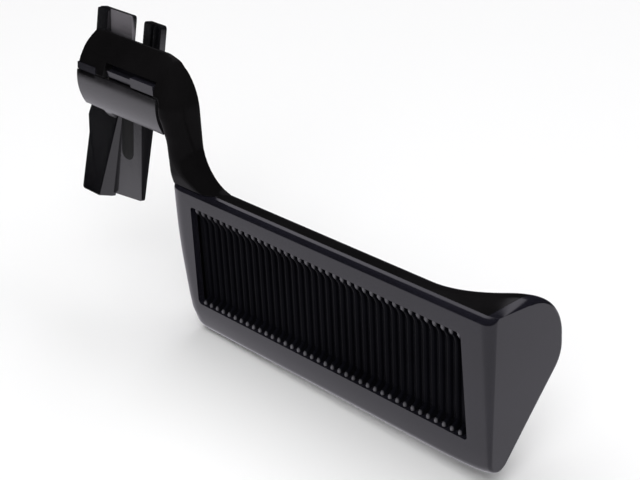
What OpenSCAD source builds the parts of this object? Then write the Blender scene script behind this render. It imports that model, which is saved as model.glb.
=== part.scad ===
// Interior release lever of a vehicle door: a push-in bracket, a sprung lever that turns on a steel pin,
// and a crank that works the latch rod.
// Origin: on the hinge axis. +X runs along the hinge axis towards the free end of the grip, +Y is the side
// that the grip is pulled towards, +Z is up. The grip's ribbed face looks along -Y.

/* [Grip] */
// Length of the window that shows the ribs
window_l = 95; // [90:1:96]
// Height of the window that shows the ribs
window_h = 26.8; // [24:0.2:27]
// Thickness of the grip's flat stretch
grip_t = 8.8; // [8.4:0.1:9.2]
// Number of ribs in the window
rib_count = 38; // [30:1:40]
// Share of the pitch that each rib fills
rib_share = 0.46; // [0.3:0.02:0.6]
// How far the swept end reaches behind the face
sweep_d = 27.4; // [25:0.2:28]

/* [Barrel] */
// Outer radius of the barrel
barrel_r = 13.8; // [13.4:0.1:14.2]
// Wall of the barrel's shell
barrel_wall = 2.4; // [2:0.1:2.6]
// Angle at which the barrel's upper shell starts, from +Y
shell_start = 111.5; // [110:0.5:114]
// Angle of the seam between the shell and the cover
seam_angle = 166; // [164:1:168]
// Angle at which the cover ends
cover_end = 210; // [206:0.5:211]

/* [Hinge] */
// Radius of the hinge pin
pin_r = 2.5; // [2.3:0.1:2.6]
// Radial clearance of the bushes on the pin
run_gap = 0.05; // [0.03:0.01:0.08]

/* [Bracket] */
// Lean of the bracket's plate, top towards +Y
lean = 12.5; // [11:0.5:13]
// Thickness of the two prongs
prong_t = 1.8; // [1.6:0.1:2.2]
// Length of the leg below the hinge axis
leg_l = 36.1; // [34:0.1:38]

/* [Hidden] */
$fn = 64;
eps = 0.01;

// Grip
face_y = -10.64;
face_top = -19.5;
face_bottom = -65;
back_y = face_y + grip_t;
window_x = 25.05;
window_top = -25.5;
skin_t = 2.04;
split_y = face_y + skin_t;
split_gap = 0.05;
grip_x0 = 17.7;
grip_x1 = 128.6;
sweep_x = [105, 128.8];
rim_x = 122;
rim_r = 4.6;
wrap_x = 126;
wall = 2;
end_back = face_y + sweep_d;

// Ribbed insert
rib_pitch = window_l / rib_count;
insert_lip = 1.6;
insert_y = [-7.2, -5.7];
crest_drop = 2.3;

// Barrel and neck
barrel_in = barrel_r - barrel_wall;
barrel_x0 = -17.6;
neck_x0 = 18;
neck_x1 = 24.5;
neck_y = -11.4;
neck_back = -4.4;
neck_top = 12.9;
cover_gap = 0.08;

// Stack along the hinge axis
web_left = [-17.6, -14.8];
web_right = [5.8, 8.2];
boss_r = 5;
flange_t = 0.7;
bush_r = 3.6;
flange_r = 4.8;
lug_left = [-13.2, -9.6];
lug_right = [1.2, 4.2];
lug_r = 4.8;
washer_t = 0.8;
side_gap = 0.1;
clip_x = 8.3;
clip_t = 0.7;
clip_groove_r = 2;
pin_head = [-21.5, -20.1];
pin_end = 10.2;

// Bracket, in its own leaning frame: plate_y is the plate's front, at the barrel's height
plate_y = -4.64;
plate_back = -1.8;
leg_back = -0.6;
recess_y = [-4.14, -1.54];
prong_top = 16.2;
prong_left = [-22.1, -7.4];
prong_right = [-1.7, 5.8];
bead_proud = 0.6;
notch_z = 10;
pad_x = [-9.4, -4.2];
pad_z = [-23.2, -11.4];

// Spring
wire_r = 0.6;
coil_r = 4;
coil_x = [-8.4, 0];
coil_turns = 5.6;

// Crank and rod swivel
crank_x = [-19.9, -18.1];
crank_arm = [15, -5.5];
swivel_r = 2;
rod_r = 1.25;

// ---------------------------------------------------------------- helpers

function unit(v) = v / norm(v);

// Points of the arc that rounds the corner b of the path a-b-c to radius r
function round_corner(a, b, c, r, n = 8) =
    r == 0 ? [b] :
    let (u = unit(a - b), v = unit(c - b), half = acos(u * v) / 2,
        centre = b + unit(u + v) * r / sin(half),
        s = b + u * r / tan(half), e = b + v * r / tan(half),
        a0 = atan2(s.y - centre.y, s.x - centre.x),
        turn = (atan2(e.y - centre.y, e.x - centre.x) - a0 + 540) % 360 - 180)
    [for (i = [0:n]) centre + r * [cos(a0 + turn * i / n), sin(a0 + turn * i / n)]];

function xy(p) = [p.x, p.y];

// Closed outline from corners given as [x, y, radius]
function outline(corners, n = 8) =
    let (k = len(corners))
    [for (i = [0:k - 1])
        each round_corner(xy(corners[(i + k - 1) % k]), xy(corners[i]), xy(corners[(i + 1) % k]),
            corners[i].z, n)];

function polar(r, a) = [r * cos(a), r * sin(a)];

// A point of the bracket's leaning frame, as Y and Z
function leaned(y, z) = [y * cos(lean) + z * sin(lean), -y * sin(lean) + z * cos(lean)];

module box(low, high) translate(low) cube(high - low);

// Extrudes a Y-Z outline along X
module along_x(x0, x1) translate([x0, 0, 0]) rotate([90, 0, 90]) linear_extrude(x1 - x0) children();

// Extrudes an X-Z outline along Y
module along_y(y0, y1) translate([0, y1, 0]) rotate([90, 0, 0]) linear_extrude(y1 - y0) children();

module rod_x(r, x0, x1) translate([x0, 0, 0]) rotate([0, 90, 0]) cylinder(r = r, h = x1 - x0);

module ring_x(r_in, r_out, x0, x1) difference() {
    rod_x(r_out, x0, x1);
    rod_x(r_in, x0 - 1, x1 + 1);
}

// The part of a ring about the hinge axis between two angles less than 180 degrees apart
module sector_x(r_in, r_out, a0, a1, x0, x1) intersection() {
    ring_x(r_in, r_out, x0, x1);
    along_x(x0, x1) polygon([[0, 0], polar(2 * r_out, a0), polar(2 * r_out, (2 * a0 + a1) / 3),
        polar(2 * r_out, (a0 + 2 * a1) / 3), polar(2 * r_out, a1)]);
}

module leaning() rotate([-lean, 0, 0]) children();

// Closed skin over rings that all have the same number of points
module loft(rings) {
    n = len(rings[0]);
    last = (len(rings) - 1) * n;
    faces = concat([[for (k = [0:n - 1]) n - 1 - k]],
        [for (i = [0:len(rings) - 2]) for (k = [0:n - 1])
            [i * n + k, i * n + (k + 1) % n, (i + 1) * n + (k + 1) % n, (i + 1) * n + k]],
        [[for (k = [0:n - 1]) last + k]]);
    polyhedron([for (ring = rings) each ring], faces);
}

// ---------------------------------------------------------------- bracket

module prong(x, bead, taper) {
    intersection() {
        along_y(plate_y, plate_y + prong_t) polygon(outline([[x[0], 7, 0], [x[1], 7, 0],
            [x[1], prong_top, 0.9], [x[0], prong_top, 0.9]]));
        along_x(x[0] - 1, x[1] + 1) polygon([[plate_y + taper, 0], [plate_y + taper, 9],
            [plate_y, prong_top], [5, prong_top], [5, 0]]);
    }
    along_y(plate_y - bead_proud, plate_y + taper + eps) polygon(outline([[bead[0], 8.5, 0], [bead[1], 8.5, 0],
        [bead[1], prong_top - 0.6, 0.6], [bead[0], prong_top - 0.6, 0.6]]));
}

module fork() difference() {
    union() {
        prong(prong_left, [prong_left[0], prong_left[0] + 4.9], 0.8);
        prong(prong_right, [1.6, 3.8], 0);
    }
    // room for the lever's web and crank
    box([-30, -8, 5], [lug_left[0] - 0.6, 0, notch_z]);
}

module crossbar() difference() {
    box([lug_left[0], plate_y, -11.2], [lug_right[1], plate_back, 11]);
    box([lug_left[1] + 0.4, plate_y - 1, -5.7], [lug_right[0] - 0.4, 0, 5.7]);
    box([prong_left[1], plate_y - 1, 8.6], [prong_right[0], 0, 12]);
}

module lug(x) {
    rod_x(lug_r, x[0], x[1]);
    box([x[0], plate_y, -lug_r], [x[1], 0, lug_r]);
}

module leg() {
    // front blade with its snap barb
    along_y(plate_y, leg_back) polygon(outline([[-8.9, -notch_z, 0], [-22.3, -notch_z, 0.6],
        [-23.9, -14.6, 0.5], [-22.9, -19.5, 1], [-24.2, -leg_l, 0.8], [-15.3, -leg_l, 0.4]]));
    // recessed half, which gets thinner downwards
    intersection() {
        along_y(plate_y, leg_back) polygon(outline([[-12, -8, 0], [-16.5, -leg_l + 0.9, 0.4],
            [-0.4, -leg_l + 2.5, 0.8], [1, -8, 0]]));
        recess_side(0);
    }
}

// Side view of the leg's recessed half, grown forward by g
module recess_side(g) along_x(-20, 4)
    polygon([[recess_y[0] - g, -8], [recess_y[1] - g, -leg_l], [0, -leg_l], [0, -8]]);

// Slot-shaped pocket in the leg's recessed half, grown by g
module pad_pocket(g) along_y(plate_y - 1, -1.5 + g)
    polygon(outline([[pad_x[0] - g, pad_z[1] + g, 0.4], [pad_x[0] - g, pad_z[0] - g, 2.2],
        [pad_x[1] + g, pad_z[0] - g, 2.2], [pad_x[1] + g, pad_z[1] + g, 0.4]]));

module mounting_bracket() color([0.07, 0.07, 0.08]) leaning() difference() {
    union() {
        fork();
        crossbar();
        lug(lug_left);
        lug(lug_right);
        leg();
        // post for the spring's fixed leg
        box([lug_left[1] - eps, plate_back - 1, -9.4], [lug_left[1] + 2.6, 3.2, -6.4]);
    }
    rod_x(pin_r, -30, 30);
    pad_pocket(0.05);
}

// ---------------------------------------------------------------- hinge parts

module hinge_pin() color([0.72, 0.72, 0.74]) difference() {
    union() {
        rod_x(pin_r, pin_head[1] - eps, pin_end - 0.5);
        rod_x(pin_r - 0.3, pin_end - 0.6, pin_end);
        rod_x(4.2, pin_head[0], pin_head[1]);
    }
    ring_x(clip_groove_r, 4, clip_x, clip_x + clip_t + 0.1);
}

// Open ring that snaps into the pin's groove from behind
module retaining_clip() color([0.35, 0.35, 0.38]) difference() {
    ring_x(clip_groove_r, 4.6, clip_x + 0.05, clip_x + 0.05 + clip_t);
    box([clip_x - 1, 0, -1.5], [clip_x + 2, 8, 1.5]);
    for (a = [130, 230]) rotate([a, 0, 0]) box([clip_x - 1, 2.8, -0.7], [clip_x + 2, 3.9, 0.7]);
}

module bush(web, inward) color([0.86, 0.84, 0.78]) difference() {
    union() {
        rod_x(bush_r, web[0], web[1]);
        if (inward > 0) rod_x(flange_r, web[1], web[1] + flange_t);
        else rod_x(flange_r, web[0] - flange_t, web[0]);
    }
    rod_x(pin_r + run_gap, -40, 40);
}

module bush_left() bush(web_left, 1);
module bush_right() bush(web_right, -1);

module thrust_washer(x) color([0.62, 0.62, 0.64]) ring_x(pin_r + 0.1, 5, x, x + washer_t);
module thrust_washer_left() thrust_washer(lug_left[0] - side_gap / 2 - washer_t);
module thrust_washer_right() thrust_washer(lug_right[1] + side_gap / 2);

// Centre line of the spring: fixed leg behind the bracket's post, coil, moving leg to the cover's ledge
leg_tip = polar(10.3, 203);
moving_start = 203 - acos(coil_r / 10.3);
fixed_start = -lean;
coil_sweep = 360 * floor(coil_turns) + moving_start - fixed_start;
function coil_point(s) =
    let (a = fixed_start + coil_sweep * s)
    [coil_x[0] + (coil_x[1] - coil_x[0]) * s, coil_r * cos(a), coil_r * sin(a)];
fixed_tip = leaned(coil_r, -8.6);
spring_steps = 150;
spring_path = concat([[coil_x[0], fixed_tip.x, fixed_tip.y]],
    [for (i = [0:spring_steps]) coil_point(i / spring_steps)],
    [[coil_x[1], leg_tip.x, leg_tip.y]]);

// Direction of a path at its point i
function heading(path, i) = unit(path[min(i + 1, len(path) - 1)] - path[max(i - 1, 0)]);

// Ring of n points round the path's point i, in a frame kept from twisting by the hinge axis
function path_ring(path, i, r, n) =
    let (d = heading(path, i), u = unit(cross(d, [1, 0, 0])), v = cross(d, u))
    [for (k = [0:n - 1]) path[i] + r * (cos(360 * k / n) * u + sin(360 * k / n) * v)];

wire_sides = 8;
module return_spring() color([0.55, 0.56, 0.58])
    loft([for (i = [0:len(spring_path) - 1]) path_ring(spring_path, i, wire_r, wire_sides)]);

// Rubber pad in the leg's pocket, which stops the pulled lever
module open_stop_pad() color([0.05, 0.05, 0.05]) leaning() intersection() {
    pad_pocket(0);
    recess_side(0.04);
}

// Rubber wedge on the crossbar, which the lever's inner rib rests on
rest_face = 121;
module rest_stop_pad() color([0.05, 0.05, 0.05]) along_x(-1.4, 4.4)
    polygon([leaned(plate_y, 6), leaned(plate_y, 8.4), polar(10.2, rest_face), polar(7.4, rest_face)]);

// ---------------------------------------------------------------- lever

// Front view of the barrel's end, the neck and the fillet into the grip
module neck_front() polygon(outline([[barrel_x0 - 1, 20, 0], [barrel_x0 - 1, -22.4, 0], [60, -22.4, 0],
    [60, face_top - 1.6, 0], [neck_x1, face_top - 1.6, 12], [neck_x1, neck_top, 12.8],
    [neck_x1 - 14, neck_top, 0], [neck_x1 - 14, 20, 0]]));

// Side view of the neck below the barrel's circle
module neck_side() polygon(outline([polar3(barrel_r - 0.4, 140), polar3(barrel_r, seam_angle), [neck_y, -3, 6],
    [face_y, -21, 0], [face_y, -30, 0], [0, -30, 0], [0, 8, 0]]));
function polar3(r, a) = [polar(r, a).x, polar(r, a).y, 0];

// Section of the neck from above, rounded towards the front
module neck_plan() polygon(outline([[neck_x0, -20, 0], [neck_x0 + 0.4, neck_y - 3, 0], [neck_x1, neck_y - 0.6, 6],
    [neck_x1, neck_back, 0], [neck_x0, neck_back, 0]]));

module neck() {
    neck_arm();
    // wall that closes the barrel's right end
    sector_x(0, barrel_in - 0.1, shell_start + 1, cover_end - 8, neck_x0 - 1.6, neck_x0 + 0.4);
}

module neck_arm() intersection() {
    union() {
        sector_x(0, barrel_r, shell_start, seam_angle, neck_x0, 60);
        along_x(neck_x0, 60) neck_side();
    }
    along_y(-30, 10) neck_front();
    union() {
        translate([0, 0, -40]) linear_extrude(60) neck_plan();
        box([neck_x0 + 1, split_y, -30], [60, neck_back, -8]);
    }
}

// Edges of the grip's face, which rises a little and narrows towards the free end
function top_edge(x) = face_top + (x - 128) * 0.0135;
function bottom_edge(x) = face_bottom + (x - 30) * 0.042;

// 0 on the flat stretch, 1 where the end is at its full depth
function sweep(x) = pow(min(1, max(0, (x - sweep_x[0]) / (sweep_x[1] - sweep_x[0]))), 2);
function mix(a, b, t) = a + (b - a) * t;

// How far the rim of the end has rounded in by the station x
function rim(x) = x < rim_x ? 0 : rim_r * (1 - sqrt(1 - pow((x - rim_x) / (grip_x1 - rim_x) * 0.98, 2)));

// Section of the grip at the station x, inset by i
function grip_section(x, i) =
    let (t = sweep(x), e = rim(x), back = mix(back_y, end_back, t) - i - e)
    [for (p = outline([[back, mix(top_edge(x), -18.1, t) - i - e * 0.85, mix(4.9, 11.8, t) - mix(1, 2, t) * i],
        [back + mix(0, 0.4, t), mix(-54.6, -38.1, t) + i + e * 0.3, mix(3, 8.5, t) - mix(1, 2, t) * i],
        [face_y + i, bottom_edge(x) - 1.35 * mix(2.4, 3, t) + 1.4 * t + 2 * i, mix(2.4, 3, t) - 0.7 * i],
        [face_y + i, top_edge(x) - i, 1.6 - 0.4 * i]], 6))
        [x, p.x, p.y]];

// Front view of the grip, inset by i
module grip_front(i) polygon(outline([[grip_x0 + i, -14, 0], [grip_x0 + i, -40, 30],
    [22 + i, -61.8 + i, 4], [34, -70, 0], [grip_x1 + 5 - i, -70, 0], [grip_x1 + 5 - i, -14, 0]]));

grip_stations = [grip_x0 - 1, 60, each [sweep_x[0]:2.4:rim_x - 1],
    for (k = [0:5]) mix(rim_x, grip_x1, sin(18 * k))];
module grip_solid(i = 0) intersection() {
    loft([for (x = grip_stations) grip_section(x < rim_x ? x : x - i, i)]);
    along_y(-20, 30) grip_front(i);
}

// Space of the front skin: in front of the split and past the crease of the end
module skin_space(g) {
    along_y(-30, split_y - g) polygon([[10, -80], [140, -80], [140, top_edge(140) + 0.1], [10, top_edge(10) + 0.1]]);
    box([wrap_x + g, -30, -80], [140, 40, 0]);
}

// Web with the boss that holds a bush
module web(x) difference() {
    union() {
        rod_x(boss_r, x[0], x[1]);
        sector_x(0, barrel_in + 0.5, 116, 147, x[0], x[1]);
        sector_x(0, barrel_in - 1.9, 140, 204, x[0], x[1]);
    }
    rod_x(bush_r, x[0] - 1, x[1] + 1);
}

// Slot in the shell for the cover's latch
latch_x = [6.4, 16.1];
latch_angle = 148.6;
module latch_slot() sector_x(barrel_in - 2, barrel_r + 1, latch_angle, seam_angle + 1,
    latch_x[0] - 12, latch_x[1] + 0.4);

module lever_body() color([0.05, 0.05, 0.06]) difference() {
    union() {
        difference() {
            intersection() {
                sector_x(barrel_in, barrel_r, shell_start, seam_angle, barrel_x0, neck_x0 + 2);
                along_y(-30, 10) neck_front();
            }
            latch_slot();
            // flat along the shell's lower edge
            box([barrel_x0 - 1, -15, 0], [-8.8, -12.75, 8]);
        }
        web(web_left);
        web(web_right);
        // rib that rests on the stop wedge
        sector_x(7.6, barrel_in + eps, rest_face + 0.5, rest_face + 9, -0.4, 3.4);
        neck();
        difference() {
            grip_solid();
            intersection() {
                grip_solid(wall);
                box([window_x - 6, split_y - 5, -80], [wrap_x, 40, 0]);
            }
        }
    }
    skin_space(0);
}

module grip_face() color([0.12, 0.12, 0.14]) difference() {
    intersection() {
        grip_solid();
        skin_space(split_gap);
    }
    window(0);
}

// Opening in the face, a little longer along its lower edge, shrunk by g
module window(g) along_y(-30, 0) polygon(outline([[window_x - 0.6 + g, window_top - g, 0.8],
    [window_x - 0.8 + g, window_top - window_h - 1.8 + g, 1.2],
    [window_x + window_l + 1.6 - g, window_top - window_h - 0.1 + g, 0.8],
    [window_x + window_l - 0.2 - g, window_top - g, 0.8]]));

// One rib seen from the side: it slopes in from the window's upper edge and stays below the face
module rib_side() polygon(outline([[insert_y[0] + 0.5, window_top, 0], [face_y + 0.5, window_top, 0],
    [face_y + crest_drop, window_top - 4.5, 2], [face_y + crest_drop, window_top - window_h - 1, 0.6],
    [face_y + 1.3, window_top - window_h - 2, 0], [insert_y[0] + 0.5, window_top - window_h - 2, 0]]));

module grip_ribs() color([0.03, 0.03, 0.035]) {
    rib_w = rib_pitch * rib_share;
    intersection() {
        for (i = [0:rib_count - 1])
            translate([window_x + rib_pitch * (i + 0.5) - rib_w / 2, 0, 0]) along_x(0, rib_w) rib_side();
        window(0.15);
    }
    // plate that joins the ribs, with bars that reach the lever's back wall
    box([window_x - insert_lip, insert_y[0], window_top - window_h - 3],
        [window_x + window_l + insert_lip, insert_y[1], window_top + 1]);
    for (z = [-31, -39, -47])
        box([window_x + 2, insert_y[1] - eps, z], [window_x + window_l - 4, back_y - wall - 0.05, z + 2]);
}

module barrel_cover() color([0.16, 0.15, 0.16]) {
    difference() {
        sector_x(barrel_in, barrel_r, seam_angle + 0.3, cover_end, barrel_x0, neck_x0 - cover_gap);
        // shadow slot along the seam
        sector_x(barrel_r - 1.2, barrel_r + 1, seam_angle, seam_angle + 4.5, barrel_x0 + 0.8, -9.4);
    }
    // latch: a tongue behind the shell with its head in the shell's slot
    sector_x(barrel_in - 1.6, barrel_in - cover_gap, latch_angle - 2, seam_angle + 6,
        latch_x[0] - 12.6, latch_x[1]);
    sector_x(barrel_in - 1, barrel_in + 0.1, seam_angle + 1, seam_angle + 6, latch_x[0] - 12.6, latch_x[1]);
    along_x(latch_x[0], latch_x[1])
        polygon([[-12.95, 3.6], [-12.95, 6.2], [-11.2, 6.2], [-9.6, 5.1], [-9.6, 3.6]]);
    along_x(latch_x[0] - 11.4, latch_x[0] + eps)
        polygon([[-12.35, 3.7], [-12.35, 5.3], [-10.4, 5.3], [-10.4, 3.7]]);
    // ledge that the spring's moving leg pushes up
    sector_x(9.2, barrel_in + eps, 190, 196.5, coil_x[1] - 1.2, coil_x[1] + 1.2);
    // finger that lands on the rubber pad
    sector_x(barrel_in + 1.3, barrel_r, cover_end - 2, cover_end + 10, -9, -5.8);
}

// ---------------------------------------------------------------- crank

module release_crank() color([0.6, 0.6, 0.62]) difference() {
    union() {
        rod_x(6.4, crank_x[0], crank_x[1]);
        sector_x(0, 10.6, 128, 188, crank_x[0], crank_x[1]);
        along_x(crank_x[0], crank_x[1]) polygon([[0, 5.5], [crank_arm.x, crank_arm.y + 3.9],
            [crank_arm.x, crank_arm.y - 3.9], [0, -6.4]]);
        translate([0, crank_arm.x, crank_arm.y]) rod_x(3.9, crank_x[0], crank_x[1]);
    }
    rod_x(pin_r + 0.2, -40, 0);
    translate([0, crank_arm.x, crank_arm.y]) rod_x(swivel_r + run_gap, -40, 0);
    for (a = [140, 178]) rotate([a, 0, 0]) translate([0, 8.2, 0]) rod_x(1.2, -40, 0);
}

// Two rivets that hold the crank on the lever's left web
module crank_rivets() color([0.7, 0.7, 0.72]) for (a = [140, 178]) rotate([a, 0, 0]) translate([0, 8.2, 0]) {
    rod_x(1.2, crank_x[0], web_left[0]);
    rod_x(2, crank_x[0] - 0.8, crank_x[0]);
}

// Turning eye for the latch rod
module rod_swivel() color([0.85, 0.85, 0.82]) translate([0, crank_arm.x, crank_arm.y]) difference() {
    union() {
        rod_x(swivel_r, crank_x[0] - 1, crank_x[1] + 0.2);
        rod_x(3.2, crank_x[0] - 4.6, crank_x[0] - 0.1);
    }
    translate([crank_x[0] - 2.35, 0, -10]) cylinder(r = rod_r, h = 20);
}

// ---------------------------------------------------------------- output

mounting_bracket();
hinge_pin();
retaining_clip();
return_spring();
open_stop_pad();
rest_stop_pad();
thrust_washer_left();
thrust_washer_right();
lever_body();
grip_face();
grip_ribs();
barrel_cover();
bush_left();
bush_right();
release_crank();
crank_rivets();
rod_swivel();
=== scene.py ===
import math

import bmesh
import bpy
from mathutils import Matrix, Vector


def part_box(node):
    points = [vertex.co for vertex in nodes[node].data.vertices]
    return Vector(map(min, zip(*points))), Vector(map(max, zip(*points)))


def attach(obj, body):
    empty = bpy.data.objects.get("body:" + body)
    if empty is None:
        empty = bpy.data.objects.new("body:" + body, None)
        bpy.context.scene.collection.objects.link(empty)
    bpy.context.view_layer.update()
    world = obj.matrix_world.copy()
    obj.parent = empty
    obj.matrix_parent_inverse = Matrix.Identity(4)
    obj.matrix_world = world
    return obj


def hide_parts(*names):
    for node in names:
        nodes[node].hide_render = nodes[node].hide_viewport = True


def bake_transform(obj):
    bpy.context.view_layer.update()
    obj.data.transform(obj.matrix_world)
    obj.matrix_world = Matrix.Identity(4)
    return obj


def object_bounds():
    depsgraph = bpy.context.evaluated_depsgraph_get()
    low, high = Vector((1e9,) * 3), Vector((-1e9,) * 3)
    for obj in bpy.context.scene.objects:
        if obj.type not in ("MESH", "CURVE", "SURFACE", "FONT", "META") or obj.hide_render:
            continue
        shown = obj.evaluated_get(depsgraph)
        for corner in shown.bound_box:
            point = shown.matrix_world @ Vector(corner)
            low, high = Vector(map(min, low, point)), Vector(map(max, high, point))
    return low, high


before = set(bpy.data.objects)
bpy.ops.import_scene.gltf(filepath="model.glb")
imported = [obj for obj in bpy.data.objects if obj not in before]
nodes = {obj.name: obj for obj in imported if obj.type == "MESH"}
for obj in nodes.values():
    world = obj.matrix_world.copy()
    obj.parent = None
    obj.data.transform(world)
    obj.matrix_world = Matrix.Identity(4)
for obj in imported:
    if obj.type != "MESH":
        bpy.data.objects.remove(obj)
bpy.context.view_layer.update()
MM = 0.001

# ------------------------------------------------------------------ sizes, mm and degrees, in the row frame

# Grip
face_low, face_high = [[c / MM for c in corner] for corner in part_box("grip_face")]
FACE_Y = face_low[1]
GRIP_X0 = face_low[0]
GRIP_X1 = face_high[0]
GRIP_T = 8.8
FACE_TOP = -19.5
FACE_BOTTOM = -65.0
SPLIT_Y = FACE_Y + 2.04
SWEEP = (105.0, 128.8)
RIM_X, RIM_R = 122.0, 4.6
WRAP_X = 126.0
END_TOP = -18.1

# The same corner of the grip's section on its straight part and at its swept end
BACK_Y = (FACE_Y + GRIP_T, 16.76)
BACK_TOP_R = (4.9, 11.8)
BACK_FOOT_Z, BACK_FOOT_R = (-54.6, -38.1), (3.0, 8.5)
FRONT_FOOT_R = (2.4, 3.0)

# Window and ribs; a rib's ends are (distance from its end, depth below the face)
WINDOW_X, WINDOW_TOP = 25.05, -25.5
WINDOW_L, WINDOW_H = 95.0, 26.8
RIBS = 38
RIB_FLOOR = -7.25
RIB_TOP = ((0, 0.25), (0.8, 0.3), (1.4, 0.6), (2.2, 1.2), (3.2, 1.8), (4.2, 2.15), (5.2, 2.3))
RIB_FOOT = ((2.6, 2.3), (1.9, 2.0), (1.4, 1.4), (1.0, 0.7), (0.5, 0.35), (0, 0.4))

# Barrel and neck; angles run from +Y towards +Z
BARREL_R, BARREL_IN = 13.8, 11.4
BARREL_X0 = -17.6
SHELL_START, SEAM, COVER_END = 111.5, 166.0, 210.0
NECK_X0, NECK_X1, NECK_BACK, NECK_TOP = 18.0, 24.5, -4.4, 12.9
NECK_R, FILLET_R = 12.8, 12.0
FILLET_FOOT = FACE_TOP - 1.6
NECK_HEIGHTS = (-22.4, -21.6, -20.9, -20.2, -19.2, -18, -16.6, -15, -13, -11, -9.1, -7.6, -6.2, -4.6, -3, -1.5,
                0.1, 1.6, 3.2, 4.8, 6.2, 7.4, 8.4, 9.2, 9.7)
LATCH_X, LATCH_A = (6.4, 16.1), 148.6
SLOT_X0 = LATCH_X[0] - 12

# Bracket, before it leans
LEAN = math.radians(12.5)
PLATE_Y = -4.64
LEFT_PRONG, RIGHT_PRONG = (-22.1, -7.4), (-1.7, 5.8)
PRONG_FOOT, PRONG_TOP, PRONG_T = 9.0, 16.2, 1.8
LUGS, LUG_R = ((-13.2, -9.6), (1.2, 4.2)), 4.8
PIN_R = 2.5
BAR_TOP, BAR_FOOT, BAR_BACK = 8.6, -11.2, -1.8
LEG_FOOT, LEG_BACK = -36.1, -0.6
STEP_FOOT, STEP_TOP = -35.2, -8
PAD_X, PAD_Z = (-9.4, -4.2), (-23.2, -11.4)

# Spring: its coil, and its arm to the lever
COIL_R, WIRE_R, COIL_X = 4.0, 0.6, (-8.4, 0.0)
COIL_TURNS = 5
POST_DEPTH = 8.6
ARM_R, ARM_A = 10.3, 203.0


# ------------------------------------------------------------------ shader nodes

def add(tree, kind, inputs=None, **settings):
    """Adds a node. Each input is a value, or a socket that is linked to it."""
    node = tree.nodes.new("ShaderNode" + kind)
    for key, value in settings.items():
        setattr(node, key, value)
    for key, value in (inputs or {}).items():
        if isinstance(value, bpy.types.NodeSocket):
            tree.links.new(value, node.inputs[key])
        else:
            node.inputs[key].default_value = value
    return node


def map_range(tree, value, start, end, low=0.0, high=1.0, **settings):
    """Turns start..end into low..high, and holds the value beyond both."""
    inputs = {"Value": value, "From Min": start, "From Max": end, "To Min": low, "To Max": high}
    return add(tree, "MapRange", inputs, **settings).outputs["Result"]


def maths(tree, how, a, b):
    return add(tree, "Math", {0: a, 1: b}, operation=how).outputs["Value"]


def mix_colour(tree, amount, shade, colour):
    inputs = {"Factor": amount, "A": shade, "B": (*colour, 1.0)}
    return add(tree, "Mix", inputs, data_type="RGBA").outputs["Result"]


def split_place(tree):
    return add(tree, "SeparateXYZ", {"Vector": tree.nodes["place"].outputs["Object"]})


# ------------------------------------------------------------------ materials

def material(name, colour, rough, metallic=0.0, specular=0.5, grain=900.0, bump=0.1, spread=0.06, wear=0.3,
             wear_colour=(0.1, 0.1, 0.1), brushed=(1.0, 1.0, 1.0)):
    """Cloudy tone and roughness, a fine bump, and edges worn to another colour."""
    tone = 0.25
    mat = bpy.data.materials.new(name)
    mat.use_nodes = True
    t = mat.node_tree
    t.nodes.clear()
    place = add(t, "TexCoord", name="place").outputs["Object"]
    place = add(t, "Mapping", {"Vector": place, "Scale": brushed}).outputs["Vector"]
    cloud = add(t, "TexNoise", {"Vector": place, "Scale": 55.0, "Detail": 4.0}, name="cloud").outputs["Fac"]
    fine = add(t, "TexNoise", {"Vector": place, "Scale": grain, "Detail": 3.0}).outputs["Fac"]
    ramp = add(t, "ValToRGB", {"Fac": cloud})
    for stop, position, change in zip(ramp.color_ramp.elements, (0.3, 0.7), (1 - tone, 1 + tone)):
        stop.position = position
        stop.color = [c * change for c in colour] + [1.0]
    edge = map_range(t, add(t, "NewGeometry").outputs["Pointiness"], 0.53, 0.62, 0.0, wear)
    shade = mix_colour(t, maths(t, "MULTIPLY", edge, cloud), ramp.outputs["Color"], wear_colour)
    gloss = map_range(t, cloud, 0.3, 0.7, max(0.02, rough - spread), rough + spread)
    normal = add(t, "Bump", {"Height": fine, "Strength": bump, "Distance": 0.2 * MM}).outputs["Normal"]
    surface = add(t, "BsdfPrincipled", {"Base Color": shade, "Roughness": gloss, "Normal": normal,
                                        "Metallic": metallic, "Specular IOR Level": specular}, name="surface")
    add(t, "OutputMaterial", {"Surface": surface.outputs["BSDF"]})
    return mat


def recolour(mat, colour, amount):
    """Mixes a colour into a material."""
    t = mat.node_tree
    base = t.nodes["surface"].inputs["Base Color"]
    t.links.new(mix_colour(t, amount, base.links[0].from_socket, colour), base)


def paint_highlight_towards_front(mat, colour, start, end):
    """Lightens a material towards -Y in patches, as a painted highlight."""
    t = mat.node_tree
    amount = map_range(t, split_place(t).outputs["Y"], start * MM, end * MM)
    patch = map_range(t, t.nodes["cloud"].outputs["Fac"], 0.3, 0.65, 0.55, 1.0)
    recolour(mat, colour, maths(t, "MULTIPLY", amount, patch))


def box_mask(tree, spans):
    """1 inside a box given in mm as axis: (start, full, full, end), 0 outside it."""
    place = split_place(tree)
    mask = 1.0
    for axis, (start, full_low, full_high, end) in spans.items():
        for outer, inner in ((start, full_low), (end, full_high)):
            mask = maths(tree, "MULTIPLY", mask, map_range(tree, place.outputs[axis], outer * MM, inner * MM))
    return mask


def paint_highlight_in_box(mat, colour, spans):
    """Paints a lighter colour into a material inside a box, as a painted highlight."""
    recolour(mat, colour, box_mask(mat.node_tree, spans))


def dull(mat, low_gloss, spans):
    """Takes the gloss off a material inside a box."""
    t = mat.node_tree
    gloss = t.nodes["surface"].inputs["Specular IOR Level"]
    t.links.new(map_range(t, box_mask(t, spans), 0.0, 1.0, gloss.default_value, low_gloss), gloss)


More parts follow.
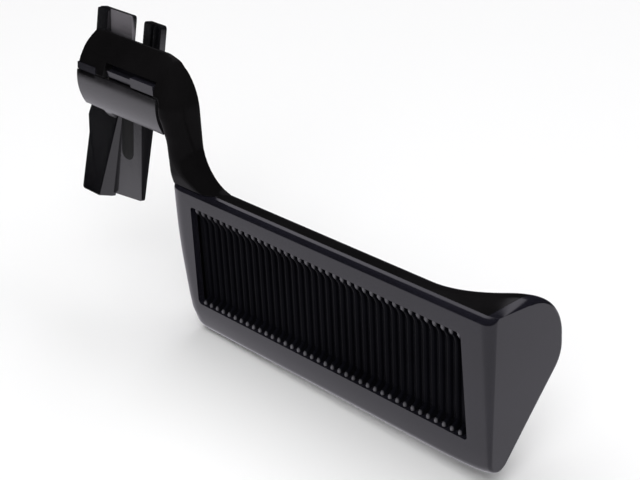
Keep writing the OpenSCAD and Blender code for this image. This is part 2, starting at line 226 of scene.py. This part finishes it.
LEVER = material("lever_gloss", (0.0045, 0.0042, 0.0045), 0.13, specular=0.028, bump=0.02, wear=0.6,
                 wear_colour=(0.1, 0.1, 0.105))
BACK = material("back_gloss", (0.0045, 0.0042, 0.0045), 0.13, specular=0.12, bump=0.02, wear=0.25,
                wear_colour=(0.02, 0.02, 0.022))
FACE = material("face_gloss", (0.008, 0.0076, 0.0115), 0.17, bump=0.015, wear_colour=(0.03, 0.03, 0.034))
COVER = material("cover_gloss", (0.011, 0.0105, 0.012), 0.2, specular=0.75, bump=0.04,
                 wear_colour=(0.03, 0.03, 0.03))
RIB = material("rib_plastic", (0.003, 0.003, 0.0045), 0.2, specular=0.03, bump=0.03,
               wear_colour=(0.03, 0.03, 0.034))
BRACKET = material("bracket_plastic", (0.0035, 0.0035, 0.0045), 0.08, specular=0.8, grain=1400, bump=0.05,
                   spread=0.02, wear=0.35, wear_colour=(0.05, 0.05, 0.052))
RUBBER = material("stop_rubber", (0.014, 0.014, 0.014), 0.7, specular=0.3, grain=2000, bump=0.3, wear=0.2)
STEEL = material("pin_steel", (0.56, 0.56, 0.57), 0.26, metallic=1.0, bump=0.08, brushed=(0.2, 1.0, 1.0),
                 wear_colour=(0.8, 0.8, 0.8))
SPRING = material("spring_steel", (0.3, 0.3, 0.31), 0.3, metallic=1.0, wear=0.2, wear_colour=(0.5, 0.5, 0.5))
CRANK = material("crank_steel", (0.5, 0.49, 0.45), 0.34, metallic=1.0, wear_colour=(0.75, 0.75, 0.7))
NYLON = material("bush_nylon", (0.62, 0.6, 0.54), 0.42, wear=0.2, wear_colour=(0.7, 0.68, 0.62))

dull(BRACKET, 0.05, {"X": (-0.6, -0.4, 3.0, 4.0), "Z": (-40.0, -39.0, -9.0, -8.0)})
# painted highlight on the left prong's face, where the barrel hides the light from it
paint_highlight_in_box(BRACKET, (0.17, 0.16, 0.175),
    {"X": (-17.3, -16.7, -7.0, -6.0), "Y": (-30.0, -29.0, -0.95, -0.4), "Z": (10.0, 12.5, 17.5, 18.5)})
# painted highlights on the rib ends, where they rise to the face
paint_highlight_towards_front(RIB, (0.15, 0.145, 0.16), FACE_Y + 0.95, FACE_Y + 0.45)


# ------------------------------------------------------------------ outlines

def mix(a, b, t):
    return a + (b - a) * t


def follow(points, z):
    """The value at a height, between points given from the top down as (height, value)."""
    for (z0, v0), (z1, v1) in zip(points, points[1:]):
        if z >= z1:
            return mix(v0, v1, (z0 - z) / (z0 - z1)) if z < z0 else v0
    return points[-1][1]


def drop(s):
    """How far a unit circle has fallen at s from its top: 0 at s = 0, 1 at s = 1."""
    return 1 - math.sqrt(max(0.0, 1 - s * s))


def polar(r, a):
    return (r * math.cos(math.radians(a)), r * math.sin(math.radians(a)))


def unit(v):
    length = math.hypot(*v)
    return (v[0] / length, v[1] / length)


def round_corner(a, b, c, r, n):
    """The corner b between a and c as an arc of n + 1 points."""
    if r <= 0:
        return [b] * (n + 1)
    u, v = unit((a[0] - b[0], a[1] - b[1])), unit((c[0] - b[0], c[1] - b[1]))
    half = math.acos(max(-1, min(1, u[0] * v[0] + u[1] * v[1]))) / 2
    w = unit((u[0] + v[0], u[1] + v[1]))
    centre = (b[0] + w[0] * r / math.sin(half), b[1] + w[1] * r / math.sin(half))
    reach = r / math.tan(half)
    start = math.atan2(b[1] + u[1] * reach - centre[1], b[0] + u[0] * reach - centre[0])
    end = math.atan2(b[1] + v[1] * reach - centre[1], b[0] + v[0] * reach - centre[0])
    turn = (end - start + 3 * math.pi) % (2 * math.pi) - math.pi
    return [(centre[0] + r * math.cos(start + turn * i / n), centre[1] + r * math.sin(start + turn * i / n))
            for i in range(n + 1)]


def outline(corners, n=8, fill=0):
    """Outline through corners given as (across, up, radius), with fill points on each straight side."""
    k = len(corners)
    arcs = []
    for i, (across, up, r) in enumerate(corners):
        arc = round_corner(corners[i - 1][:2], (across, up), corners[(i + 1) % k][:2], r, n)
        arcs.append(arc if r > 0 or fill else arc[:1])
    out = []
    for i, arc in enumerate(arcs):
        out += arc
        (x0, y0), (x1, y1) = arc[-1], arcs[(i + 1) % k][0]
        out += [(mix(x0, x1, j / (fill + 1)), mix(y0, y1, j / (fill + 1))) for j in range(1, fill + 1)]
    return out


# ------------------------------------------------------------------ solids

def loft(rings, bm=None):
    """Closed skin over rings of equally many points, added to bm or to a new mesh."""
    bm = bm or bmesh.new()
    rows = [[bm.verts.new([c * MM for c in p]) for p in ring] for ring in rings]
    n = len(rows[0])
    for a, b in zip(rows, rows[1:]):
        for k in range(n):
            bm.faces.new((a[k], a[(k + 1) % n], b[(k + 1) % n], b[k]))
    bm.faces.new(list(reversed(rows[0])))
    bm.faces.new(rows[-1])
    return bm


def prism(points, axis, low, high, bm=None):
    """Prism over an outline: points are (Y, Z) for axis X, (X, Z) for axis Y and (X, Y) for axis Z."""
    def place(p, d):
        return {"X": (d, p[0], p[1]), "Y": (p[0], d, p[1]), "Z": (p[0], p[1], d)}[axis]
    return loft([[place(p, low) for p in points], [place(p, high) for p in points]], bm)


def block(low, high, bm=None):
    corners = [(low[0], low[1]), (high[0], low[1]), (high[0], high[1]), (low[0], high[1])]
    return prism(corners, "Z", low[2], high[2], bm)


def sector(r_in, r_out, a0, a1, x0, x1):
    """Part of a tube about the hinge axis, in steps of about 1.5 degrees."""
    n = int(abs(a1 - a0) / 1.5)
    arc = [mix(a0, a1, i / n) for i in range(n + 1)]
    return prism([polar(r_out, a) for a in arc] + [polar(r_in, a) for a in reversed(arc)], "X", x0, x1)


def rod(r, x0, x1):
    return prism([polar(r, a) for a in range(0, 360, 6)], "X", x0, x1)


def new_object(bm, name="tool"):
    bmesh.ops.remove_doubles(bm, verts=bm.verts, dist=2e-7)
    bmesh.ops.recalc_face_normals(bm, faces=bm.faces)
    mesh = bpy.data.meshes.new(name)
    bm.to_mesh(mesh)
    bm.free()
    o = bpy.data.objects.new(name, mesh)
    bpy.context.scene.collection.objects.link(o)
    return o


def settle(o):
    """Applies the object's modifiers."""
    dg = bpy.context.evaluated_depsgraph_get()
    dg.update()
    mesh = bpy.data.meshes.new_from_object(o.evaluated_get(dg))
    o.modifiers.clear()
    o.data = mesh


def combine(o, how, *tools):
    """Unites, cuts or intersects the object with each tool, and removes the tools."""
    for tool in tools:
        tool = tool if isinstance(tool, bpy.types.Object) else new_object(tool)
        join = o.modifiers.new("join", "BOOLEAN")
        join.operation = how
        join.solver = "EXACT"
        join.object = tool
        settle(o)
        bpy.data.objects.remove(tool)
    return o


def paint(o, mat, sharp=None):
    """Smooth shading with one material, and sharp edges from an angle if one is given."""
    o.data.materials.clear()
    o.data.materials.append(mat)
    o.data.shade_smooth()
    if sharp:
        o.data.set_sharp_from_angle(angle=math.radians(sharp))


def soften(o, width, segments, angle, harden):
    """Rounds the edges that are sharper than an angle."""
    bevel = o.modifiers.new("soft_edges", "BEVEL")
    bevel.width = width * MM
    bevel.segments = segments
    bevel.limit_method = "ANGLE"
    bevel.angle_limit = math.radians(angle)
    bevel.harden_normals = harden


def finish_piece(o, mat, covers, width=0.25, segments=3, angle=35, smooth=35, body="lever"):
    """Cleans the mesh, rounds its edges, and puts the piece on a body in place of CAD nodes."""
    bm = bmesh.new()
    bm.from_mesh(o.data)
    bmesh.ops.remove_doubles(bm, verts=bm.verts, dist=3e-6)
    bmesh.ops.dissolve_degenerate(bm, edges=bm.edges, dist=1e-6)
    bm.to_mesh(o.data)
    bm.free()
    paint(o, mat, smooth)
    if width > 0:
        soften(o, width, segments, angle, True)
        settle(o)
    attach(o, body)
    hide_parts(*covers)


# ------------------------------------------------------------------ small parts, as they are in the CAD model

for names, mat in ((("hinge_pin", "thrust_washer_left", "thrust_washer_right"), STEEL),
                   (("retaining_clip",), SPRING), (("open_stop_pad", "rest_stop_pad"), RUBBER),
                   (("bush_left", "bush_right", "rod_swivel"), NYLON), (("release_crank", "crank_rivets"), CRANK)):
    for name in names:
        part = nodes[name]
        paint(part, mat)
        part.modifiers.new("weld", "WELD").merge_threshold = 2e-6
        soften(part, 0.12, 2, 40, False)


# ------------------------------------------------------------------ grip

def top_edge(x):
    return FACE_TOP + (x - 128) * 0.0135


def bottom_edge(x):
    return FACE_BOTTOM + (x - 30) * 0.042


def rim(x):
    """How far the swept end's rim has rounded inwards."""
    return RIM_R * drop(0.98 * max(0.0, x - RIM_X) / (GRIP_X1 - RIM_X))


def grip_section(x, i=0.0):
    """Outline of the grip across X, made smaller by i."""
    t = min(1.0, max(0.0, (x - SWEEP[0]) / (SWEEP[1] - SWEEP[0]))) ** 2
    e = rim(x)
    top = top_edge(x)
    back_y = mix(*BACK_Y, t) - i - e
    back_i = mix(1, 2, t) * i
    foot_r = mix(*FRONT_FOOT_R, t)
    corners = [(back_y, mix(top, END_TOP, t) - i - 0.85 * e, mix(*BACK_TOP_R, t) - back_i),
               (back_y + 0.4 * t, mix(*BACK_FOOT_Z, t) + i + 0.3 * e, mix(*BACK_FOOT_R, t) - back_i),
               (FACE_Y + i, bottom_edge(x) - 1.35 * foot_r + 1.4 * t + 2 * i, foot_r - 0.7 * i),
               (FACE_Y + i, top - 0.36 - i, 1.45 - 0.5 * i),
               (SPLIT_Y + 0.05 + 0.3 * i, top - i, 0.9 - 0.3 * i)]
    return outline(corners, 14, 9)


def left_edge(z):
    """X of the grip's left end: straight, then curving in to a cut lower corner."""
    return follow([(-14.0, 16.6), (-27.0, 16.5), (-33.0, 16.6), (-40.0, 17.1), (-50.0, 18.5), (-58.0, 19.8),
                   (-60.6, 20.6), (-62.0, 21.6), (-63.6, 23.6), (-66.0, 27.6), (-70.0, 34.0)], z)


def crease(x, z):
    """How far the face has turned back towards the end plate."""
    r = mix(0.5, 2.8, min(1, max(0, (z + 60) / 40)))
    return r * drop(0.97 * max(0.0, (x - (GRIP_X1 - r)) / r))


def grip_ring(x, i=0.0):
    """The section at x, bent to the left edge, the crease, the left side's rounding and the lower bevel."""
    fade = max(0.0, 1 - (x - GRIP_X0) / 60.0)
    side = 1.6 * drop(0.98 * max(0.0, 1 - (x - GRIP_X0) / 4.2))
    ring = []
    for y, z in grip_section(x, i):
        near = max(0.0, 1 - (y - FACE_Y) / 3.2)
        lower = 0.026 * max(0.0, -54.5 - z) ** 2 * max(0.0, 1 - (x - 20) / 160)
        ring.append((x + (left_edge(z) - GRIP_X0) * fade, y + (crease(x, z) + side + lower) * near,
                     z - 0.25 * lower * near))
    return ring


def grip_solid(name):
    xs = [GRIP_X0 + v for v in (0, 0.15, 0.4, 0.75, 1.2, 1.7, 2.3, 3, 3.6, 4.5, 14, 26, 42, 60, 75)]
    xs += [SWEEP[0] - 4 + 1.4 * k for k in range(15)]
    xs += [RIM_X + (GRIP_X1 - RIM_X) * math.sin(math.radians(6 * k)) for k in range(1, 16)]
    rings = [grip_ring(GRIP_X0, 0.7)]
    rings += [grip_ring(x) for x in sorted(xs) if x <= GRIP_X1]
    rings += [grip_ring(GRIP_X1, 0.35), grip_ring(GRIP_X1, 0.8)]
    return new_object(loft(rings), name)


def skin_space(gap):
    """The space of the grip's skin: in front of the split, and past the wrap at the end."""
    front = new_object(block((5, -30, -90), (140, SPLIT_Y - gap, 10)))
    return combine(front, "UNION", block((WRAP_X + gap, SPLIT_Y - gap - 1, -90), (141, 40, 12)))


window_right, window_foot = WINDOW_X + WINDOW_L, WINDOW_TOP - WINDOW_H
window = outline([(WINDOW_X - 0.6, WINDOW_TOP, 0.9), (WINDOW_X - 0.8, window_foot - 1.8, 1.3),
                  (window_right + 1.6, window_foot - 0.1, 0.9), (window_right - 0.2, WINDOW_TOP, 0.9)])
face = grip_solid("grip_face_skin")
combine(face, "INTERSECT", skin_space(0.05))
combine(face, "DIFFERENCE", prism(window, "Y", -20, -2))
finish_piece(face, FACE, ["grip_face"], width=0.22, angle=50)

back_shell = grip_solid("lever_back_shell")
combine(back_shell, "DIFFERENCE", skin_space(0.0))
combine(back_shell, "DIFFERENCE", block((21.5, -12, -56), (WRAP_X - 2, -3.6, -22.6)))
finish_piece(back_shell, BACK, [], width=0.2, angle=50)


# ------------------------------------------------------------------ neck and barrel

def neck_front(z):
    """Y of the neck's front: it follows the barrel, then eases back to the grip."""
    if z > -1.5:
        return -math.sqrt(max(0.0, BARREL_R ** 2 - z * z))
    return follow([(-1.5, -13.72), (-4.5, -12.9), (-9, -11.9), (-18, -11.0), (-23, -9.6)], z)


def neck_right(z):
    """X of the neck's right side: an arc over the barrel's end, then a fillet into the grip."""
    up, down = z - (NECK_TOP - NECK_R), FILLET_FOOT + FILLET_R - z
    if up > 0:
        return NECK_X1 - NECK_R + math.sqrt(max(0.0, NECK_R ** 2 - up ** 2))
    if down > 0:
        return NECK_X1 + FILLET_R - math.sqrt(max(0.0, FILLET_R ** 2 - down ** 2))
    return NECK_X1


def neck_left(z):
    return NECK_X0 + 0.1 - 0.1 * max(0.0, -7.1 - z)


def neck_ring(z):
    x0, x1, front = neck_left(z), neck_right(z), neck_front(z)
    r = min(6.2, 0.85 * (x1 - x0), 0.85 * (NECK_BACK - front))
    corners = [(x0, NECK_BACK, 0.3), (x0, front, 0.7 if z < 3 else 0.3), (x1, front, r), (x1, NECK_BACK, 0.6)]
    return [(x, y, z) for x, y in outline(corners, 12, 3)]


front_view = outline([(BARREL_X0 - 1, 20, 0), (BARREL_X0 - 1, -22.4, 0), (60, -22.4, 0), (60, FILLET_FOOT, 0),
                      (NECK_X1, FILLET_FOOT, FILLET_R), (NECK_X1, NECK_TOP, NECK_R),
                      (NECK_X1 - 14, NECK_TOP, 0), (NECK_X1 - 14, 20, 0)], 20)
shell = new_object(sector(BARREL_IN, BARREL_R, SHELL_START, SEAM, BARREL_X0, NECK_X0 + 2), "lever_shell")
combine(shell, "INTERSECT", prism(front_view, "Y", -30, 10))
combine(shell, "UNION", loft([neck_ring(z) for z in NECK_HEIGHTS]))
remesh = shell.modifiers.new("blend", "REMESH")
remesh.mode = "VOXEL"
remesh.voxel_size = 0.38 * MM
even = shell.modifiers.new("even", "SMOOTH")
even.factor = 0.6
even.iterations = 10
settle(shell)
end_wall = sector(0, BARREL_IN - 0.1, SHELL_START + 1, COVER_END - 8, NECK_X0 - 1.6, NECK_X0 + 0.4)
over_grip = [(10, top_edge(10) + 0.05), (140, top_edge(140) + 0.05), (140, -90), (10, -90)]
latch_slot = sector(BARREL_IN - 2, BARREL_R + 1, LATCH_A, SEAM + 1, SLOT_X0, LATCH_X[1] + 0.4)
combine(shell, "UNION", end_wall)
combine(shell, "DIFFERENCE", block((16, NECK_BACK - 0.2, -20), (20, 5, 20)), prism(over_grip, "Y", -30, SPLIT_Y),
        latch_slot, block((BARREL_X0 - 1, -15, 0), (-8.9, -12.75, 6)))
finish_piece(shell, LEVER, ["lever_body"], width=0.0, smooth=50)

cover = new_object(sector(BARREL_IN, BARREL_R, SEAM + 0.6, COVER_END, BARREL_X0, NECK_X0 - 0.35),
                   "barrel_lower_cover")
combine(cover, "DIFFERENCE", sector(BARREL_R - 1.2, BARREL_R + 1, SEAM, SEAM + 4.5, BARREL_X0 + 0.8, -9.4))
combine(cover, "UNION", sector(BARREL_IN + 1.3, BARREL_R, COVER_END - 2, COVER_END + 10, -9, -5.8))
finish_piece(cover, COVER, ["barrel_cover"], width=0.4, segments=4, angle=30)

tongue = sector(BARREL_IN - 1.6, BARREL_IN - 0.08, LATCH_A - 2, SEAM + 6, SLOT_X0 - 0.6, LATCH_X[1])
head = [(-12.95, 3.6), (-12.95, 6.2), (-11.2, 6.2), (-9.6, 5.1), (-9.6, 3.6)]
rail = [(-12.35, 3.7), (-12.35, 5.3), (-10.4, 5.3), (-10.4, 3.7)]
lip = [(-13.25, 3.35), (-13.0, 5.15), (-12.2, 5.15), (-12.2, 3.35)]
latch = new_object(tongue, "cover_latch")
combine(latch, "UNION", prism(head, "X", *LATCH_X), prism(rail, "X", SLOT_X0 + 0.6, LATCH_X[0] + 0.1),
        prism(lip, "X", BARREL_X0, -9.3))
finish_piece(latch, FACE, [], angle=30)


# ------------------------------------------------------------------ ribs

def rib_ring(x, y, z, half):
    """A rib's section at the height z: straight sides and a round crest that reaches y."""
    crest = [(x - 0.92 * half * math.cos(math.pi * j / 8), y + 1.2 * half * (1 - math.sin(math.pi * j / 8)), z)
             for j in range(1, 8)]
    left = [(x - half, RIB_FLOOR, z), (x - 0.96 * half, y + 1.3 * half, z)]
    right = [(x + 0.96 * half, y + 1.3 * half, z), (x + half, RIB_FLOOR, z)]
    return left + crest + right


rib_set = bmesh.new()
pitch = WINDOW_L / RIBS
rib_top = WINDOW_TOP - 0.15
for k in range(RIBS):
    rib_foot = window_foot - 1.65 + 1.7 * k / RIBS
    path = [(rib_top - along, depth) for along, depth in RIB_TOP]
    path += [(rib_foot + along, depth) for along, depth in RIB_FOOT]
    loft([rib_ring(WINDOW_X + pitch * (k + 0.5), FACE_Y + depth, z, 0.27 * pitch) for z, depth in path], rib_set)
block((WINDOW_X - 1.6, RIB_FLOOR - 0.02, window_foot - 3), (window_right + 1.6, -5.7, WINDOW_TOP + 1), rib_set)
ribs = new_object(rib_set, "ribbed_insert")
paint(ribs, RIB, 50)
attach(ribs, "lever")
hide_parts("grip_ribs")


# ------------------------------------------------------------------ bracket, which leans back when it is whole

def tilted_prism(points, back, front_low, front_high, z_low, z_high):
    """Prism over an X-Z outline, whose front runs from one depth at z_low to another at z_high."""
    front = [(x, mix(front_low, front_high, (z - z_low) / (z_high - z_low)), z) for x, z in points]
    return loft([[(x, back, z) for x, z in points], front])


def upright(x0, x1, foot, top, r, n):
    """Outline of a strip with rounded upper corners."""
    return outline([(x0, foot, 0), (x1, foot, 0), (x1, top, r), (x0, top, r)], n)


def prong(x0, x1, taper):
    return tilted_prism(upright(x0, x1, 7, PRONG_TOP, 0.9, 6), PLATE_Y + PRONG_T, PLATE_Y + taper, PLATE_Y,
                        PRONG_FOOT, PRONG_TOP)


def bead(x0, x1, r, n, height, depth):
    return prism(upright(x0, x1, PRONG_FOOT - 0.5, PRONG_TOP - 0.3, r, n), "Y", PLATE_Y - height, PLATE_Y + depth)


def leg_outline(cut):
    """The leg's outline, with its right side moved in by cut."""
    return outline([(-7.6 - cut, -10, 0), (-22.3, -10, 0.6), (-23.9, -14.6, 0.5), (-22.9, -19.5, 1),
                    (-24.2, LEG_FOOT, 0.8), (-14.0 - cut, LEG_FOOT, 0.4)], 5)


bracket = new_object(prong(*LEFT_PRONG, 0.75), "bracket_frame")
combine(bracket, "UNION", prong(*RIGHT_PRONG, 0.0), bead(LEFT_PRONG[0], -17.2, 0.5, 5, 0.6, 1.2),
        bead(1.2, 2.2, 0.3, 4, 0.55, 0.2), bead(3.3, 4.2, 0.3, 4, 0.55, 0.2))
combine(bracket, "DIFFERENCE", block((-30, -8, 5), (-13.8, 0, 9.3)))
bar = new_object(block((LUGS[0][0], PLATE_Y, BAR_FOOT), (LUGS[1][1], BAR_BACK, BAR_TOP)))
combine(bar, "DIFFERENCE", block((-9.2, PLATE_Y - 1, -5.7), (0.8, 0, 5.7)))
combine(bracket, "UNION", bar)
for x0, x1 in LUGS:
    combine(bracket, "UNION", rod(LUG_R, x0, x1), block((x0, PLATE_Y, -LUG_R), (x1, 0, LUG_R)))

leg_cuts = ((LEG_BACK, 0.0), (PLATE_Y + 3.0, 0.0), (PLATE_Y, 1.9))
combine(bracket, "UNION", loft([[(x, y, z) for x, z in leg_outline(cut)] for y, cut in leg_cuts]))
step_outline = outline([(-11, STEP_TOP, 0), (-16.5, STEP_FOOT, 0.4), (-0.4, -33.6, 0.8), (1, STEP_TOP, 0)], 5)
step = new_object(tilted_prism(step_outline, LEG_BACK, PLATE_Y + 3.1, PLATE_Y + 0.5, STEP_FOOT, STEP_TOP))
pocket = outline([(PAD_X[0], PAD_Z[1], 0.4), (PAD_X[0], PAD_Z[0], 2.2), (PAD_X[1], PAD_Z[0], 2.2),
                  (PAD_X[1], PAD_Z[1], 0.4)])
combine(step, "DIFFERENCE", prism(pocket, "Y", -8, -1.45))
spring_post = block((-9.61, -2.8, -9.4), (-7, 3.2, -6.4))
combine(bracket, "UNION", step, spring_post)
combine(bracket, "DIFFERENCE", rod(PIN_R, -30, 30))
bracket.data.transform(Matrix.Rotation(-LEAN, 4, "X"))
finish_piece(bracket, BRACKET, ["mounting_bracket"], width=0.3, angle=32, body="bracket")


# ------------------------------------------------------------------ spring

def spring_path():
    """Points of the wire: a leg from the bracket's post, the coil, and an arm out to the cover's ledge."""
    start = -math.degrees(LEAN)
    sweep = 360 * COIL_TURNS + ARM_A - math.degrees(math.acos(COIL_R / ARM_R)) - start
    steps = 320
    coil = [Vector((mix(*COIL_X, i / steps), *polar(COIL_R, start + sweep * i / steps))) for i in range(steps + 1)]
    post = Vector((COIL_X[0], COIL_R * math.cos(LEAN) - POST_DEPTH * math.sin(LEAN),
                   -COIL_R * math.sin(LEAN) - POST_DEPTH * math.cos(LEAN)))
    ledge = Vector((COIL_X[1], *polar(ARM_R, ARM_A)))
    return ([post.lerp(coil[0], k / 8) for k in range(8)] + coil
            + [coil[-1].lerp(ledge, k / 8) for k in range(1, 9)])


def wire_rings(path, r, sides=14):
    """Rings across the path, for a round wire."""
    rings = []
    for i, p in enumerate(path):
        along = (path[min(i + 1, len(path) - 1)] - path[max(i - 1, 0)]).normalized()
        u = along.cross(Vector((1, 0, 0))).normalized()
        v = along.cross(u)
        angles = [2 * math.pi * k / sides for k in range(sides)]
        rings.append([p + r * (math.cos(a) * u + math.sin(a) * v) for a in angles])
    return rings


spring = new_object(loft(wire_rings(spring_path(), WIRE_R)), "coil_spring")
paint(spring, SPRING, 60)
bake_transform(spring)
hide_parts("return_spring")


# ------------------------------------------------------------------ floor

low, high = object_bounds()
floor_z = low[2] / MM - 0.4
floor_mat = bpy.data.materials.new("floor")
floor_mat.use_nodes = True
paper = floor_mat.node_tree.nodes["Principled BSDF"]
paper.inputs["Base Color"].default_value = (0.9, 0.9, 0.9, 1)
paper.inputs["Roughness"].default_value = 0.9
paper.inputs["Specular IOR Level"].default_value = 0.0
sheet = bmesh.new()
sheet.faces.new([sheet.verts.new((x, y, floor_z * MM)) for x, y in ((-14, -14), (14, -14), (14, 14), (-14, 14))])
floor = new_object(sheet, "floor")
paint(floor, floor_mat)
floor.visible_glossy = False


# ------------------------------------------------------------------ light

world = bpy.data.worlds.new("studio")
bpy.context.scene.world = world
world.use_nodes = True
sky = world.node_tree
sky.nodes.clear()
ray = add(sky, "TexCoord").outputs["Generated"]


def glow(direction, start, end, low_light, high_light):
    """Light that changes with the cosine of the angle between the ray and a direction."""
    aim = Vector(direction).normalized()
    cosine = add(sky, "VectorMath", {0: ray, 1: aim}, operation="DOT_PRODUCT").outputs["Value"]
    return map_range(sky, cosine, start, end, low_light, high_light, interpolation_type="SMOOTHSTEP")


below = glow((0, 0, 1), -0.29, -0.17, 0.88, 0.0)
camera_side = glow((0.508, -0.734, -0.45), 0.4, 0.7, 1.0, 0.92)
left_strip = glow((-0.677, 0.397, 0.62), 0.98, 0.995, 0.0, 1.25)
back_strip = glow((-0.363, 0.585, 0.725), 0.972, 0.99, 0.0, 1.25)
strips = maths(sky, "ADD", left_strip, back_strip)
light = maths(sky, "ADD", maths(sky, "MULTIPLY", below, camera_side), strips)
light = maths(sky, "ADD", light, 0.02)
background = add(sky, "Background", {"Color": (0.95, 0.92, 1.0, 1), "Strength": light})
add(sky, "OutputWorld", {"Surface": background.outputs["Background"]})


def lamp(name, place, aim, size, power):
    """Square lamp that the gloss doesn't mirror; places in metres."""
    data = bpy.data.lights.new(name, "AREA")
    data.shape = "RECTANGLE"
    data.size = data.size_y = size
    data.energy = power
    o = bpy.data.objects.new(name, data)
    o.location = place
    o.rotation_euler = (Vector(aim) - Vector(place)).to_track_quat("-Z", "Y").to_euler()
    o.visible_glossy = False
    bpy.context.scene.collection.objects.link(o)


lamp("overhead", (0.1, 0.0, 1.6), (0.05, 0, 0), 3.0, 50)
lamp("fill", (0.9, -1.0, 0.9), (0.05, 0, 0), 1.2, 10)


# ------------------------------------------------------------------ camera, as fitted to the photo

CAMERA_AT = (0.31293, -0.21606, 0.13863)
azimuth, elevation, roll = (math.radians(v) for v in (49.177, 26.488, -3.0))
back = Vector((math.sin(azimuth) * math.cos(elevation), -math.cos(azimuth) * math.cos(elevation),
               math.sin(elevation)))
right = Vector((math.cos(azimuth), math.sin(azimuth), 0))
up = back.cross(right)
right, up = (right * math.cos(roll) + up * math.sin(roll), up * math.cos(roll) - right * math.sin(roll))
camera_data = bpy.data.cameras.new("camera")
camera_data.lens = 84.375
camera_data.sensor_width = 36.0
camera_data.clip_start = 0.01
camera = bpy.data.objects.new("camera", camera_data)
camera.matrix_world = Matrix([(*row, at) for row, at in zip(zip(right, up, back), CAMERA_AT)] + [(0, 0, 0, 1)])
bpy.context.scene.collection.objects.link(camera)
bpy.context.scene.camera = camera
bpy.context.scene.view_settings.view_transform = "Standard"
